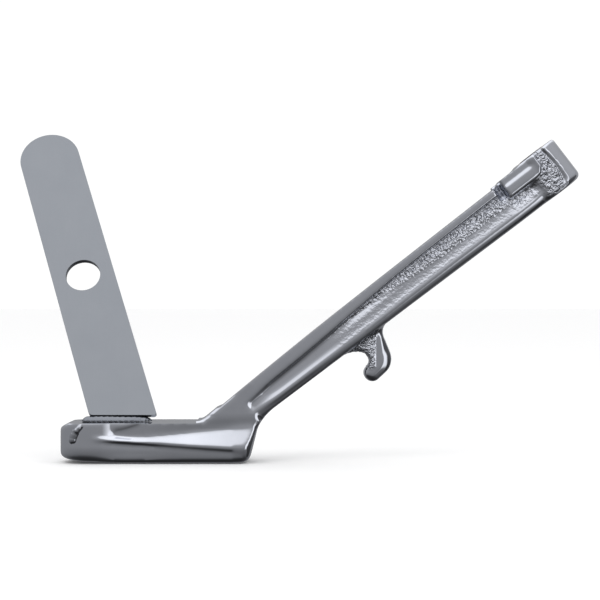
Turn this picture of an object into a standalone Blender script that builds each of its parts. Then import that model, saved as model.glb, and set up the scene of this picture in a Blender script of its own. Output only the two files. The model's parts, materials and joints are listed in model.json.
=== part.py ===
"""Side stand leg of a cruiser motorcycle, standing in its deployed position.

The leg is one chromed casting: a foot bar on the ground, a channelled arm that rises to the
pivot barrel, a spring hook under the arm and a lock notch in its upper flange. A flat kick tab is
welded on the outer end of the foot. Two bushes are pressed in the barrel, and they turn on a
sleeve that a bolt clamps to the motorcycle.

Units are metres, +Z is up, and the origin is the centre of the pivot. +Y is the motorcycle's
forward direction, so the leg folds towards -Y.
"""

import math

import bmesh
import bpy
from mathutils import Matrix, Vector

MM = 0.001

# --- driving dimensions -------------------------------------------------------------------------
PIVOT_HEIGHT = 148.4 * MM       # pivot centre above the ground
ARM_SLOPE = math.radians(37.6)  # arm's centre line above the horizontal
TOUCH_GAP = 0.3 * MM            # between pieces that touch
RUN_GAP = 0.1 * MM              # radial, between the sleeve and its bushes

BARREL_R = 13.4 * MM
BARREL_LENGTH = 24.2 * MM
BORE_R = 9.0 * MM
BUSH_LENGTH = 8.0 * MM
SLEEVE_R = 6.95 * MM
BOLT_HOLE_R = 4.9 * MM

ARM_DEPTH = 22.0 * MM
ARM_TOP_TAPER = 0.0125          # each flange closes on the centre line by this much per length
ARM_BOTTOM_TAPER = 0.0100
ARM_EDGE = 1.2 * MM
ARM_START = 2.3 * MM            # arm's upper end, hidden in the barrel
ARM_TOP_STEP = 2.0 * MM         # arm's upper flange below the barrel's upper end face
ARM_BOTTOM_STEP = 0.15 * MM     # arm's underside above the barrel's lower end face
TOP_FLANGE = 4.2 * MM
LOWER_FLANGE = 4.4 * MM
RECESS_DEPTH = 3.8 * MM
RECESS_START = 12.0 * MM        # from the pivot, along the arm
# stations along the arm's channels, each with the share of the full section it has there
RECESS_STATIONS = ((RECESS_START, 0.6), (40.0 * MM, 1.0), (178.0 * MM, 0.9), (188.0 * MM, 0.6),
                   (193.0 * MM, 0.15))
CROTCH_R = 5.0 * MM             # inner corner between the arm and the foot's top
KNEE_R = 8.0 * MM               # outer corner between the arm's underside and the heel face
HEEL_R = 4.0 * MM               # corner between the heel face and the sole
FOOT_LAP = 12.0 * MM            # how far the arm's blank runs on into the foot

FOOT_LENGTH = 97.8 * MM
FOOT_HEIGHT = 20.4 * MM
FOOT_DEPTH = 28.0 * MM
FOOT_NOSE_R = 13.0 * MM
FOOT_EDGE = 3.2 * MM
HEEL_X = -152.6 * MM            # lower end of the heel face
HEEL_LEAN = 0.25                # heel face, run over rise
SCOOP_LENGTH = 66.0 * MM
SCOOP_DEPTH = 5.0 * MM
SCOOP_MARGIN = 4.0 * MM         # between the scoop's end and the heel face
# share of the scoop's length, height of its lip above the ground, share of its full depth
SCOOP_STATIONS = ((0.0, 10.6 * MM, 0.8), (0.12, 11.0 * MM, 1.0), (0.88, 8.2 * MM, 1.0),
                  (1.0, 7.6 * MM, 0.4))

NOTCH_START = 23.2 * MM
NOTCH_WIDTH = 4.8 * MM
NOTCH_DEPTH = 7.6 * MM
NOTCH_WALL = 4.0 * MM           # left standing on the front side, thinnest nearest the pivot
NOTCH_CORNER_R = 1.0 * MM

FINGER_R = 3.7 * MM
FINGER_START = 2.0 * MM         # centre of its round end, along the arm
FINGER_PROUD = 2.0 * MM         # beyond the arm's side
FINGER_EDGE = 1.8 * MM

POCKET_START = -6.5 * MM        # the pocket beside the barrel, along the arm
POCKET_END = 14.0 * MM
POCKET_SILL = 2.5 * MM          # above the barrel's lower end face
POCKET_DEPTH = 3.0 * MM         # below the barrel's outside
BARREL_EDGE = 1.6 * MM

HOOK_THICKNESS = 12.0 * MM
HOOK_REACH = 135.0 * MM         # spring seat, along the arm
HOOK_DROP = 18.3 * MM           # spring seat, below the centre line
HOOK_SEAT_R = 5.1 * MM
HOOK_TIP_R = 4.5 * MM
HOOK_EDGE = 2.6 * MM

TAB_WIDTH = 33.4 * MM
TAB_LENGTH = 181.0 * MM
TAB_THICKNESS = 3.2 * MM
TAB_HOLE_R = 9.3 * MM
TAB_HOLE_RISE = 86.0 * MM       # hole centre, along the tab from the middle of its lower edge
TAB_LEAN = math.radians(27.0)   # forwards
TAB_SIDE_LEAN = math.radians(18.0)
TAB_X = -217.6 * MM             # middle of the lower edge
WELD_HEIGHT = 3.4 * MM
WELD_OVERRUN = 3.4 * MM
WELD_SIDE = 3.0 * MM            # bead standing out on each side of the tab
WELD_CROWN = 0.6 * MM           # bead's ridge above the tab's lower edge
RUN_OFF_LENGTH = 13.0 * MM
RUN_OFF_WIDTH = 4.2 * MM
RUN_OFF_HEIGHT = 3.2 * MM
RUN_OFF_SLOPE = math.radians(-60.0)     # down the foot's rear face
RUN_OFF_YAW = math.radians(-14.0)       # round the foot's nose
RUN_OFF_INSET = 10.2 * MM               # its middle, from the foot's end
RUN_OFF_DROP = 5.2 * MM                 # its middle, below the foot's top

CLEAR = 3.0 * MM                # how far a cutting shape reaches out of what it cuts

GROUND = -PIVOT_HEIGHT
FOOT_TOP = GROUND + FOOT_HEIGHT
FOOT_END = HEEL_X - FOOT_LENGTH + 1.0 * MM
ALONG = Vector((-math.cos(ARM_SLOPE), 0.0, -math.sin(ARM_SLOPE)))   # from the pivot to the foot
ACROSS = Vector((-math.sin(ARM_SLOPE), 0.0, math.cos(ARM_SLOPE)))   # pivot axis, upwards
ROUND = 48                      # sides of the bore, bushes and sleeve


# --- helpers ------------------------------------------------------------------------------------
def clear_scene():
    for old in list(bpy.data.objects):
        bpy.data.objects.remove(old, do_unlink=True)


def metal(name, colour, roughness):
    material = bpy.data.materials.new(name)
    material.use_nodes = True
    shader = material.node_tree.nodes["Principled BSDF"]
    shader.inputs["Base Color"].default_value = (*colour, 1.0)
    shader.inputs["Roughness"].default_value = roughness
    shader.inputs["Metallic"].default_value = 1.0
    return material


def make_object(name, bm, material=None, smooth_below=40.0):
    """Turn a bmesh into an object, with its round faces shaded smooth."""
    bmesh.ops.recalc_face_normals(bm, faces=bm.faces)
    mesh = bpy.data.meshes.new(name)
    bm.to_mesh(mesh)
    bm.free()
    mesh.shade_smooth()
    mesh.set_sharp_from_angle(angle=math.radians(smooth_below))
    if material:
        mesh.materials.append(material)
    obj = bpy.data.objects.new(name, mesh)
    bpy.context.scene.collection.objects.link(obj)
    return obj


def as_tool(obj):
    """Mark an object as a shape that only adds to, or cuts, another one."""
    obj.hide_render = True
    obj.display_type = "WIRE"
    return obj


def combine(target, tool, operation, solver="EXACT"):
    modifier = target.modifiers.new(f"{operation} {tool.name}", "BOOLEAN")
    modifier.operation = operation
    modifier.solver = solver
    modifier.object = as_tool(tool)


def soften(obj, width, segments=2, over=50.0):
    modifier = obj.modifiers.new("soft edges", "BEVEL")
    modifier.width = width
    modifier.segments = segments
    modifier.limit_method = "ANGLE"
    modifier.angle_limit = math.radians(over)


def filleted(corners, steps=4):
    """Outline through (x, y, radius) corners, each rounded with an arc of its own radius."""
    outline = []
    for i, (x, y, radius) in enumerate(corners):
        here = Vector((x, y))
        before = Vector(corners[i - 1][:2]) - here
        after = Vector(corners[(i + 1) % len(corners)][:2]) - here
        if radius <= 0.0:
            outline.append(here)
            continue
        before.normalize()
        after.normalize()
        half = before.angle(after) / 2.0
        middle = here + (before + after).normalized() * (radius / math.sin(half))
        first = here + before * (radius / math.tan(half)) - middle
        last = here + after * (radius / math.tan(half)) - middle
        sweep = first.angle_signed(last)
        for step in range(steps + 1):
            turned = first.copy()
            turned.rotate(Matrix.Rotation(-sweep * step / steps, 2))
            outline.append(middle + turned)
    return outline


def extruded(outline, place, direction):
    """A prism: the outline's points put in space by place(), pushed along direction."""
    bm = bmesh.new()
    face = bm.faces.new([bm.verts.new(place(*point)) for point in outline])
    grown = bmesh.ops.extrude_face_region(bm, geom=[face])
    pushed = [item for item in grown["geom"] if isinstance(item, bmesh.types.BMVert)]
    bmesh.ops.translate(bm, verts=pushed, vec=direction)
    return bm


def lofted(sections):
    """A closed body through rings that all have the same number of points."""
    bm = bmesh.new()
    rings = []
    for section in sections:
        verts = [bm.verts.new(point) for point in section]
        rings.append([bm.edges.new((verts[i - 1], verts[i])) for i in range(len(verts))])
    for near, far in zip(rings, rings[1:]):
        bmesh.ops.bridge_loops(bm, edges=near + far)
    for ring in (rings[0], rings[-1]):
        bmesh.ops.edgeloop_fill(bm, edges=ring)
    return bm


def cylinder(radius, length, axis, centre=Vector((0.0, 0.0, 0.0)), sides=ROUND):
    bm = bmesh.new()
    turn = axis.to_track_quat("Z", "Y").to_matrix().to_4x4()
    bmesh.ops.create_cone(bm, cap_ends=True, segments=sides, radius1=radius, radius2=radius,
                          depth=length, matrix=Matrix.Translation(centre) @ turn)
    return bm


def arm_point(s, t, y=0.0):
    """A point s along the arm from the pivot, t above its centre line, y forwards."""
    return ALONG * s + ACROSS * t + Vector((0.0, y, 0.0))


def arm_top(s):
    return BARREL_LENGTH / 2.0 - ARM_TOP_STEP - ARM_TOP_TAPER * s


def arm_bottom(s):
    return -BARREL_LENGTH / 2.0 + ARM_BOTTOM_STEP + ARM_BOTTOM_TAPER * s


# --- the leg casting ----------------------------------------------------------------------------
def arm_and_heel():
    """Side outline of the arm, turning down into the heel and the inner part of the foot."""
    upper = arm_point(ARM_START, arm_top(ARM_START))
    rise = arm_point(1.0, arm_top(1.0)) - arm_point(0.0, arm_top(0.0))
    crotch = upper + rise * ((FOOT_TOP - upper.z) / rise.z)
    lower = arm_point(ARM_START, arm_bottom(ARM_START))
    fall = arm_point(1.0, arm_bottom(1.0)) - arm_point(0.0, arm_bottom(0.0))
    heel = Vector((HEEL_X, 0.0, GROUND))
    # where the arm's underside would meet the heel face
    depth = (heel.x - lower.x - HEEL_LEAN * (heel.z - lower.z)) / (fall.x - HEEL_LEAN * fall.z)
    knee = lower + fall * depth
    inner_end = crotch.x - FOOT_LAP
    corners = [
        (upper.x, upper.z, 0.0),
        (crotch.x, crotch.z, CROTCH_R),
        (inner_end, FOOT_TOP, 0.0),
        (inner_end, GROUND, 0.0),
        (heel.x, heel.z, HEEL_R),
        (knee.x, knee.z, KNEE_R),
        (lower.x, lower.z, 0.0),
    ]
    return extruded(filleted(corners), lambda x, z: Vector((x, -ARM_DEPTH / 2.0, z)),
                    Vector((0.0, ARM_DEPTH, 0.0)))


def foot_bar():
    """Foot seen from above, with a round nose, raised to its height with a leaning heel."""
    half = FOOT_DEPTH / 2.0
    corners = [
        (FOOT_END, -half, FOOT_NOSE_R),
        (HEEL_X, -half, HEEL_R),
        (HEEL_X, half, HEEL_R),
        (FOOT_END, half, FOOT_NOSE_R),
    ]
    bm = extruded(filleted(corners, 8), lambda x, y: Vector((x, y, GROUND)),
                  Vector((0.0, 0.0, FOOT_HEIGHT)))
    lean = HEEL_LEAN * FOOT_HEIGHT
    for vert in bm.verts:
        if vert.co.z > GROUND + FOOT_HEIGHT / 2.0 and vert.co.x > HEEL_X - HEEL_R - MM:
            vert.co.x += lean
    return bm


def channel(side):
    """Recess along one side of the arm: deep under the upper flange, fading out at the lower."""
    face = side * ARM_DEPTH / 2.0
    sections = []
    for s, share in RECESS_STATIONS:
        full_top = arm_top(s) - TOP_FLANGE
        full_low = arm_bottom(s) + LOWER_FLANGE
        middle = (full_top + full_low) / 2.0
        top = middle + (full_top - middle) * share
        low = middle + (full_low - middle) * share
        deep = RECESS_DEPTH * share
        profile = (
            (CLEAR, top), (-deep, top), (-deep, top - 0.15 * (top - low)),
            (-0.72 * deep, top - 0.55 * (top - low)), (-0.3 * deep, top - 0.85 * (top - low)),
            (0.05 * CLEAR, low), (CLEAR, low),
        )
        sections.append([arm_point(s, t, face + side * out) for out, t in profile])
    return lofted(sections)


def foot_scoop():
    """Hollow along the rear upper edge of the foot, its lower lip falling towards the heel."""
    face = -FOOT_DEPTH / 2.0
    end = HEEL_X - SCOOP_MARGIN
    sections = []
    for share, lip, depth in SCOOP_STATIONS:
        x = end - SCOOP_LENGTH * (1.0 - share)
        z = GROUND + lip
        deep = SCOOP_DEPTH * depth
        profile = (
            (-CLEAR, z), (0.1 * deep, z), (0.5 * deep, z + 1.0 * MM), (0.85 * deep, z + 3.0 * MM),
            (deep, z + 6.0 * MM), (deep, FOOT_TOP + CLEAR), (-CLEAR, FOOT_TOP + CLEAR),
        )
        sections.append([Vector((x, face + inward, height)) for inward, height in profile])
    return lofted(sections)


def spring_hook():
    """Claw under the arm that the return spring's eye hangs on, drawn as one run of arcs."""
    seat = arm_point(HOOK_REACH, -HOOK_DROP)
    outline = []

    def arc(x, z, radius, start, stop, steps):
        for step in range(steps + 1):
            angle = math.radians(start + (stop - start) * step / steps)
            outline.append((seat.x + x + radius * math.cos(angle), seat.z + z + radius * math.sin(angle)))

    outline.append((seat.x - 14.0 * MM, seat.z + 1.2 * MM))
    arc(-1.0 * MM, -8.9 * MM, 14.0 * MM, 118.0, 92.0, 3)         # lead in from the arm
    arc(0.0, 0.0, HOOK_SEAT_R, 82.0, -15.0, 6)                   # seat of the spring's eye
    arc(6.8 * MM, -5.9 * MM, HOOK_TIP_R, 152.0, 300.0, 8)        # rounded tip
    arc(6.8 * MM, 1.3 * MM, 9.4 * MM, -44.0, 26.0, 5)            # back of the claw
    arc(17.9 * MM, 15.3 * MM, 6.0 * MM, 196.0, 146.0, 3)         # fillet back into the arm
    outline.append((seat.x + 16.5 * MM, seat.z + 25.0 * MM))
    outline.append((seat.x - 10.0 * MM, seat.z + 9.0 * MM))
    return extruded(outline, lambda x, z: Vector((x, -HOOK_THICKNESS / 2.0, z)),
                    Vector((0.0, HOOK_THICKNESS, 0.0)))


def barrel_pocket():
    """Shallow unpolished hollow between the barrel's rounded rim and the arm."""
    high = BARREL_LENGTH / 2.0 + CLEAR
    low = POCKET_SILL - BARREL_LENGTH / 2.0
    outline = filleted([
        (POCKET_START, high, 0.0), (POCKET_START, low, 3.0 * MM), (POCKET_END, low, 0.0),
        (POCKET_END, 2.0 * MM, 0.0), (4.0 * MM, 3.0 * MM, 2.0 * MM), (2.0 * MM, high, 0.0),
    ])
    return extruded(outline, lambda s, t: arm_point(s, t, -BARREL_R - CLEAR),
                    Vector((0.0, POCKET_DEPTH + CLEAR, 0.0)))


def lock_finger():
    """Rounded pad beside the upper flange that backs the lock notch."""
    centre_t = BARREL_LENGTH / 2.0 - FINGER_R
    depth = ARM_DEPTH / 2.0 + FINGER_PROUD
    end = NOTCH_START + NOTCH_WIDTH / 2.0
    outline = []
    for step in range(9):
        angle = math.radians(90.0 + 180.0 * step / 8)
        outline.append((FINGER_START + FINGER_R * math.cos(angle), centre_t + FINGER_R * math.sin(angle)))
    outline.append((end, centre_t - FINGER_R))
    outline.append((end, centre_t + FINGER_R))
    return extruded(outline, lambda s, t: arm_point(s, t, -depth), Vector((0.0, depth, 0.0)))


def lock_notch():
    """Pocket in the upper flange, open upwards and to the rear, with its front wall askew."""
    top = BARREL_LENGTH / 2.0 + CLEAR
    floor = arm_top(NOTCH_START) - NOTCH_DEPTH
    end = NOTCH_START + NOTCH_WIDTH
    outline = filleted([(NOTCH_START, floor, NOTCH_CORNER_R), (end, floor, NOTCH_CORNER_R),
                        (end, top, 0.0), (NOTCH_START, top, 0.0)], 2)
    rear = -BARREL_R - CLEAR
    bm = extruded(outline, lambda s, t: arm_point(s, t, rear),
                  Vector((0.0, ARM_DEPTH / 2.0 - NOTCH_WALL - rear, 0.0)))
    for vert in bm.verts:
        if vert.co.y > 0.0:
            vert.co.y -= vert.co.dot(ALONG) - NOTCH_START
    return bm


def build_leg(chrome):
    leg = make_object("leg", arm_and_heel(), chrome)
    soften(leg, ARM_EDGE)
    foot = make_object("foot_bar_shape", foot_bar())
    soften(foot, FOOT_EDGE, 3)
    barrel = make_object("barrel_shape", cylinder(BARREL_R, BARREL_LENGTH, ACROSS))
    soften(barrel, BARREL_EDGE)
    hook = make_object("hook_shape", spring_hook())
    soften(hook, HOOK_EDGE)
    finger = make_object("finger_shape", lock_finger())
    soften(finger, FINGER_EDGE, 2, 60.0)
    for shape in (foot, barrel, hook):
        combine(leg, shape, "UNION", "MANIFOLD")   # their faces meet at grazing angles
    combine(leg, make_object("rear_channel_cut", channel(-1.0)), "DIFFERENCE")
    combine(leg, make_object("front_channel_cut", channel(1.0)), "DIFFERENCE")
    combine(leg, make_object("pocket_cut", barrel_pocket()), "DIFFERENCE")
    combine(leg, finger, "UNION")
    combine(leg, make_object("scoop_cut", foot_scoop()), "DIFFERENCE")
    combine(leg, make_object("notch_cut", lock_notch()), "DIFFERENCE")
    bore = make_object("bore_cut", cylinder(BORE_R, BARREL_LENGTH + 2.0 * CLEAR, ACROSS))
    combine(leg, bore, "DIFFERENCE")


# --- pieces in and on the leg -------------------------------------------------------------------
def build_tube(name, outer, inner, length, centre, material):
    """A plain bush or sleeve, turned from its wall's section about the pivot axis."""
    bm = bmesh.new()
    wall = [(outer, length / 2.0), (outer, -length / 2.0), (inner, -length / 2.0), (inner, length / 2.0)]
    verts = [bm.verts.new((radius, 0.0, height)) for radius, height in wall]
    face = bm.faces.new(verts)
    bmesh.ops.spin(bm, geom=list(face.edges) + verts, cent=(0.0, 0.0, 0.0), axis=(0.0, 0.0, 1.0),
                   angle=math.tau, steps=ROUND, use_merge=True)
    bmesh.ops.delete(bm, geom=[face], context="FACES_ONLY")
    bmesh.ops.remove_doubles(bm, verts=bm.verts, dist=0.00001)
    obj = make_object(name, bm, material)
    obj.rotation_mode = "QUATERNION"
    obj.rotation_quaternion = ACROSS.to_track_quat("Z", "Y")
    obj.location = centre


def tab_frame():
    """Local frame of the tab: X across it, Y up along it, Z out of its rear face."""
    up = Vector((0.0, math.sin(TAB_LEAN), math.cos(TAB_LEAN)))
    right = Vector((1.0, 0.0, 0.0))
    frame = Matrix((right, up, right.cross(up))).transposed().to_4x4()
    return Matrix.Translation((TAB_X, 0.0, FOOT_TOP + WELD_HEIGHT)) @ frame


def build_tab(chrome):
    """Flat bar with a square lower end, cut level with the foot, and a half-round upper end."""
    half = TAB_WIDTH / 2.0
    side = math.tan(TAB_SIDE_LEAN)
    straight = (TAB_LENGTH - half) * math.cos(TAB_SIDE_LEAN)
    across = half / math.cos(TAB_SIDE_LEAN)
    outline = filleted([(-across, 0.0, 2.0 * MM), (across, 0.0, 2.0 * MM)] + [
        (-side * straight + half * math.cos(TAB_SIDE_LEAN + math.pi * step / 12),
         straight + half * math.sin(TAB_SIDE_LEAN + math.pi * step / 12), 0.0)
        for step in range(13)], 3)
    bm = extruded(outline, lambda x, y: Vector((x, y, 0.0)), Vector((0.0, 0.0, -TAB_THICKNESS)))
    tab = make_object("kick_tab", bm, chrome)
    tab.matrix_world = tab_frame()
    rise = TAB_HOLE_RISE * math.cos(TAB_SIDE_LEAN)
    hole_bm = cylinder(TAB_HOLE_R, TAB_THICKNESS * 4.0, Vector((0.0, 0.0, 1.0)),
                       Vector((-side * rise, rise, 0.0)), 32)
    hole = make_object("tab_hole_cut", hole_bm)
    hole.matrix_world = tab_frame()
    combine(tab, hole, "DIFFERENCE")


def grown_copy(source, name, gap):
    """A tool shape: the source's outside, moved out by the gap."""
    bm = bmesh.new()
    bm.from_mesh(source)
    for vert in bm.verts:
        vert.normal_update()
    shift = {vert: vert.normal * vert.calc_shell_factor() * gap for vert in bm.verts}
    for vert, move in shift.items():
        vert.co += move
    return make_object(name, bm)


def bead(length, width, height, waves):
    """A run of weld along local X: a low rounded ridge whose height ripples."""
    sections = []
    steps = 14
    for step in range(steps + 1):
        share = step / steps
        fullness = math.sin(math.pi * min(max(share, 0.03), 0.97)) ** 0.35      # round at both ends
        fullness *= 1.0 + 0.06 * math.sin(math.tau * waves * share)
        ring = []
        for turn in range(12):
            angle = math.tau * turn / 12
            ring.append(Vector((length * (share - 0.5), math.cos(angle) * width / 2.0 * fullness,
                                math.sin(angle) * height * fullness)))
        sections.append(ring)
    return lofted(sections)


def build_weld(chrome):
    """Bead that carries the tab's lower edge, overrunning its outer corner."""
    length = TAB_WIDTH / math.cos(TAB_SIDE_LEAN) + WELD_OVERRUN
    weld = make_object("weld_bead", bead(length, TAB_THICKNESS + 2.0 * WELD_SIDE,
                                         WELD_HEIGHT + WELD_CROWN, 5), chrome)
    weld.location = (TAB_X - WELD_OVERRUN * 0.6, TAB_THICKNESS * 0.6, FOOT_TOP)
    floor_height = 20.0 * MM
    floor = make_object("weld_floor_cut", cylinder(length, floor_height, Vector((0.0, 0.0, 1.0)), sides=16))
    floor.location = (TAB_X, 0.0, FOOT_TOP + TOUCH_GAP - floor_height / 2.0)
    combine(weld, floor, "DIFFERENCE")
    slot_rise = 20.0 * MM
    slot_bm = bmesh.new()
    bmesh.ops.create_cube(slot_bm, size=1.0)
    for vert in slot_bm.verts:
        vert.co.x *= TAB_WIDTH * 2.0
        vert.co.y = (vert.co.y + 0.5) * slot_rise - TOUCH_GAP
        vert.co.z = vert.co.z * (TAB_THICKNESS + 2.0 * TOUCH_GAP) - TAB_THICKNESS / 2.0
    slot = make_object("weld_slot_cut", slot_bm)
    slot.matrix_world = tab_frame()
    combine(weld, slot, "DIFFERENCE")


def build_run_off(chrome, foot_mesh):
    """Short second run of weld, down the outer rear corner of the foot from the bead's end."""
    run = make_object("weld_run_off", bead(RUN_OFF_LENGTH, RUN_OFF_WIDTH, RUN_OFF_HEIGHT, 3), chrome)
    run.rotation_euler = (math.radians(90.0), RUN_OFF_SLOPE, RUN_OFF_YAW)
    run.location = (FOOT_END + RUN_OFF_INSET, 0.5 * MM - FOOT_DEPTH / 2.0, FOOT_TOP - RUN_OFF_DROP)
    combine(run, grown_copy(foot_mesh, "run_off_floor_cut", TOUCH_GAP), "DIFFERENCE")


def main():
    clear_scene()
    chrome = metal("polished chrome", (0.62, 0.63, 0.66), 0.08)
    satin = metal("satin chrome", (0.45, 0.47, 0.50), 0.32)
    steel = metal("hardened steel", (0.36, 0.37, 0.39), 0.35)
    bronze = metal("bush bronze", (0.55, 0.38, 0.18), 0.38)
    build_leg(chrome)
    build_tab(satin)
    build_weld(chrome)
    build_run_off(chrome, bpy.data.objects["foot_bar_shape"].data)
    bush_centre = BARREL_LENGTH / 2.0 - BUSH_LENGTH / 2.0 - TOUCH_GAP
    for name, way in (("bush_upper", 1.0), ("bush_lower", -1.0)):
        build_tube(name, BORE_R - TOUCH_GAP, SLEEVE_R + RUN_GAP, BUSH_LENGTH,
                   ACROSS * bush_centre * way, bronze)
    build_tube("pivot_sleeve", SLEEVE_R, BOLT_HOLE_R, BARREL_LENGTH, Vector((0.0, 0.0, 0.0)), steel)


main()
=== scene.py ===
# %% [markdown]
# # A chromed side stand for a motorcycle
# The real stand is one steel casting, polished and chromed: a foot that rests on the ground, an
# arm that rises to a pivot barrel, a spring hook and a lock notch. A flat tab for the rider's
# boot is welded on the foot. This lesson dresses a packed, working model of it. The frame below
# holds that model, and every new piece rides an empty made for its body.

# %% Load the frame
import json
import math

import bmesh
import bpy
from mathutils import Matrix, Vector, noise


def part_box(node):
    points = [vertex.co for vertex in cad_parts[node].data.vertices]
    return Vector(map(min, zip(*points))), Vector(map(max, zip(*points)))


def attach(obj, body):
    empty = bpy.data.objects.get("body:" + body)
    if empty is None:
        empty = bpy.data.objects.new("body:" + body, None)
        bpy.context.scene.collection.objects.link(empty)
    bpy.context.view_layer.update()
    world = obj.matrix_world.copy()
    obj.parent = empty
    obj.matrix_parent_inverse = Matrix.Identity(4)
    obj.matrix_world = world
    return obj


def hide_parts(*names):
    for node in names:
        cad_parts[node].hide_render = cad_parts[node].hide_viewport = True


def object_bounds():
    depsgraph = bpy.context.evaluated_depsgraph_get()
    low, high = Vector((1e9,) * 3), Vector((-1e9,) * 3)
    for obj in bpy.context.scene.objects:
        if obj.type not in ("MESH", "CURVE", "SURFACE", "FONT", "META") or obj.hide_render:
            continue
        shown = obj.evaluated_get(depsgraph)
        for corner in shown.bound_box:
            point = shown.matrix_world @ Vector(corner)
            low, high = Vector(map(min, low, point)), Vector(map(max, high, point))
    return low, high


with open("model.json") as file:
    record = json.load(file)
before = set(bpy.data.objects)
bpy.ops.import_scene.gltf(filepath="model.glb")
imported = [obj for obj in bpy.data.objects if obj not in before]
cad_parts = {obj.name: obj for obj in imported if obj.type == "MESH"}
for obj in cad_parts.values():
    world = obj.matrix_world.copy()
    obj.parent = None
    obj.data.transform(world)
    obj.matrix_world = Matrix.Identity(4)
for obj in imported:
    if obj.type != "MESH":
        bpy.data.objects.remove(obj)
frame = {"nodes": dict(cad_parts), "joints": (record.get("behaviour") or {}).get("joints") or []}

CAD_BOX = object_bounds()
print("box of the working model:", [list(corner) for corner in CAD_BOX])

# %% [markdown]
# ## Directions and sizes
# Everything on the arm is easiest to describe in the arm's own directions: how far along it from
# the pivot, how far above its centre line, and how far to its side. The pivot's axis comes from
# the frame, so those directions follow the working model. The new pieces are drawn in
# millimetres, which keeps the numbers short, and each is scaled to metres when it is finished.

# %% Directions and main sizes
MM = 0.001
ACROSS = Vector(frame["joints"][0]["axis"]).normalized()    # pivot axis, upwards
SIDE = Vector((0.0, 1.0, 0.0))                              # towards the front wheel
ALONG = ACROSS.cross(SIDE)                                  # down the arm, from the pivot
LEG_LOW, LEG_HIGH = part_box("leg")
GROUND = LEG_LOW.z / MM
FOOT_END = LEG_LOW.x / MM
HALF_FOOT = LEG_HIGH.y / MM
HALF_ARM = 11.0
BARREL_R = 13.7
BARREL_LENGTH = 24.2
FOOT_TOP = GROUND + 20.4
HEEL_X = -153.4             # lower end of the heel's rear face
HEEL_LEAN = 0.25            # run over rise of that face
print("ground at", round(GROUND, 1), "mm, foot ends at", round(FOOT_END, 1), "mm")

# %% Places on the arm
ARM_START = 2.3             # upper end of the arm's blank, inside the barrel
TOP_AT_PIVOT = 9.9
TOP_TAPER = 0.0075
TOP_BEND = 0.00014
TOP_BEND_START = 100.0
UNDERSIDE_START = 26.0
UNDERSIDE_RISE = 0.0115


def arm_point(s, t, y=0.0):
    """A place in millimetres: s along the arm, t above its centre line, y forwards."""
    return ALONG * s + ACROSS * t + SIDE * y


def arm_place(point):
    """How far along the arm and above its centre line a point lies."""
    return point.dot(ALONG), point.dot(ACROSS)


def arm_top(s):
    """Height of the arm's top face, which bends down a little towards the foot."""
    return TOP_AT_PIVOT - TOP_TAPER * s - TOP_BEND * max(s - TOP_BEND_START, 0.0) ** 2


def arm_bottom(s):
    """Height of its underside, level with the barrel's lower end and rising slowly beyond."""
    return 0.1 - BARREL_LENGTH / 2.0 + UNDERSIDE_RISE * max(s - UNDERSIDE_START, 0.0)


def ramp(start, stop, value):
    """0 before start and 1 after stop, with a soft run between them."""
    share = min(max((value - start) / (stop - start), 0.0), 1.0)
    return share * share * (3.0 - 2.0 * share)


print("arm is", round(arm_top(0.0) - arm_bottom(0.0), 1), "mm deep by the barrel and",
      round(arm_top(200.0) - arm_bottom(200.0), 1), "mm by the foot")

# %% [markdown]
# ## A few tools of the trade
# A casting is a sum of simple bodies with other bodies cut away. The first helpers round chosen
# edges off, push an outline out into a prism, and run a skin through a row of rings.

# %% Edges, prisms and skins
def corners_of(bm, keep):
    """The bmesh's edges whose middle point passes the test."""
    return [edge for edge in bm.edges if keep((edge.verts[0].co + edge.verts[1].co) / 2.0, edge)]


def round_off(bm, edges, size, segments=6):
    """Bevel the edges to a radius of about the size."""
    bmesh.ops.bevel(bm, geom=edges, offset=size, segments=segments, profile=0.5,
                    affect="EDGES", material=-1, clamp_overlap=True)


def prism(points, push):
    """A face through the points, pushed out into a solid."""
    bm = bmesh.new()
    face = bm.faces.new([bm.verts.new(point) for point in points])
    grown = bmesh.ops.extrude_face_region(bm, geom=[face])
    far = [item for item in grown["geom"] if isinstance(item, bmesh.types.BMVert)]
    bmesh.ops.translate(bm, verts=far, vec=push)
    bmesh.ops.recalc_face_normals(bm, faces=bm.faces)
    return bm


def skin(rings):
    """A closed body through rings that all have the same number of points."""
    bm = bmesh.new()
    loops = []
    for ring in rings:
        verts = [bm.verts.new(point) for point in ring]
        loops.append([bm.edges.new((verts[i - 1], verts[i])) for i in range(len(verts))])
    for near, far in zip(loops, loops[1:]):
        bmesh.ops.bridge_loops(bm, edges=near + far)
    bmesh.ops.edgeloop_fill(bm, edges=loops[0])
    bmesh.ops.edgeloop_fill(bm, edges=loops[-1])
    bmesh.ops.recalc_face_normals(bm, faces=bm.faces)
    return bm


# %% [markdown]
# The others work on whole bodies. One body cuts another with a Boolean, and a voxel remesh puts
# one even skin over bodies that overlap. `settle` turns a modifier's result into plain mesh at
# once, so that the next tool works on real points.

# %% Bodies, cuts and new skins
def body(name, bm):
    """A named object in the scene that holds the bmesh, which is then freed."""
    mesh = bpy.data.meshes.new(name)
    bm.to_mesh(mesh)
    bm.free()
    obj = bpy.data.objects.new(name, mesh)
    bpy.context.scene.collection.objects.link(obj)
    return obj


def settle(obj):
    """Turn what the object's modifiers make into its own mesh."""
    graph = bpy.context.evaluated_depsgraph_get()
    made = bpy.data.meshes.new_from_object(obj.evaluated_get(graph))
    obj.modifiers.clear()
    obj.data = made
    return obj


def cut(obj, tool):
    """Take the tool's body out of the object's, and throw the tool away."""
    modifier = obj.modifiers.new("cut", "BOOLEAN")
    modifier.operation = "DIFFERENCE"
    modifier.solver = "MANIFOLD"
    modifier.object = tool
    settle(obj)
    bpy.data.objects.remove(tool)


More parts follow.
